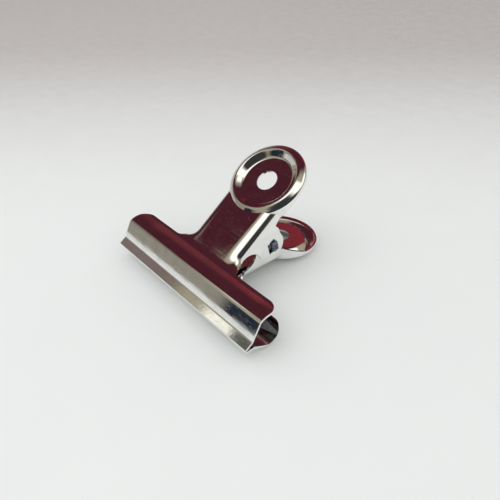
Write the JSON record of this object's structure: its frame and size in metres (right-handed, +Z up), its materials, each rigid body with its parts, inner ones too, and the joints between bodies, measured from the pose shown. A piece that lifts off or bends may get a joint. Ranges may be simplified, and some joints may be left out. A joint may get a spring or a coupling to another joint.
{
  "type": "letter clip with round thumb discs",
  "caption": "Wide sprung paper or leather clip: hinged pressed-steel levers with full-width lips and round dished thumb discs, closed by a leaf spring.",
  "frame": {"origin": "middle of the footprint, on the surface that the clip lies on", "axes": "+X along the lips, +Y from the lips back to the thumb discs, +Z up; the clip lies on its lower lever"},
  "size_m": [0.076, 0.0688, 0.0423],
  "materials": {
    "plated_steel": "bright nickel plate, polished, with fine orange peel and light handling scratches",
    "spring_steel": "rolled spring steel, nickel plated, duller than the levers"
  },
  "bodies": {
    "lower": {"lower_lever": "plated_steel", "leaf_spring": "spring_steel"},
    "upper": {"upper_lever": "plated_steel"}
  },
  "joints": [
    {"name": "jaw_hinge", "type": "hinge", "parent": "lower", "child": "upper", "pos_m": [0, 0.00199, 0.01319], "axis": [-1, 0, 0], "range_deg": [0, 35], "stiffness_Nm_per_rad": 0.5, "springref_deg": -40.11, "deforming": ["leaf_spring"]}
  ]
}
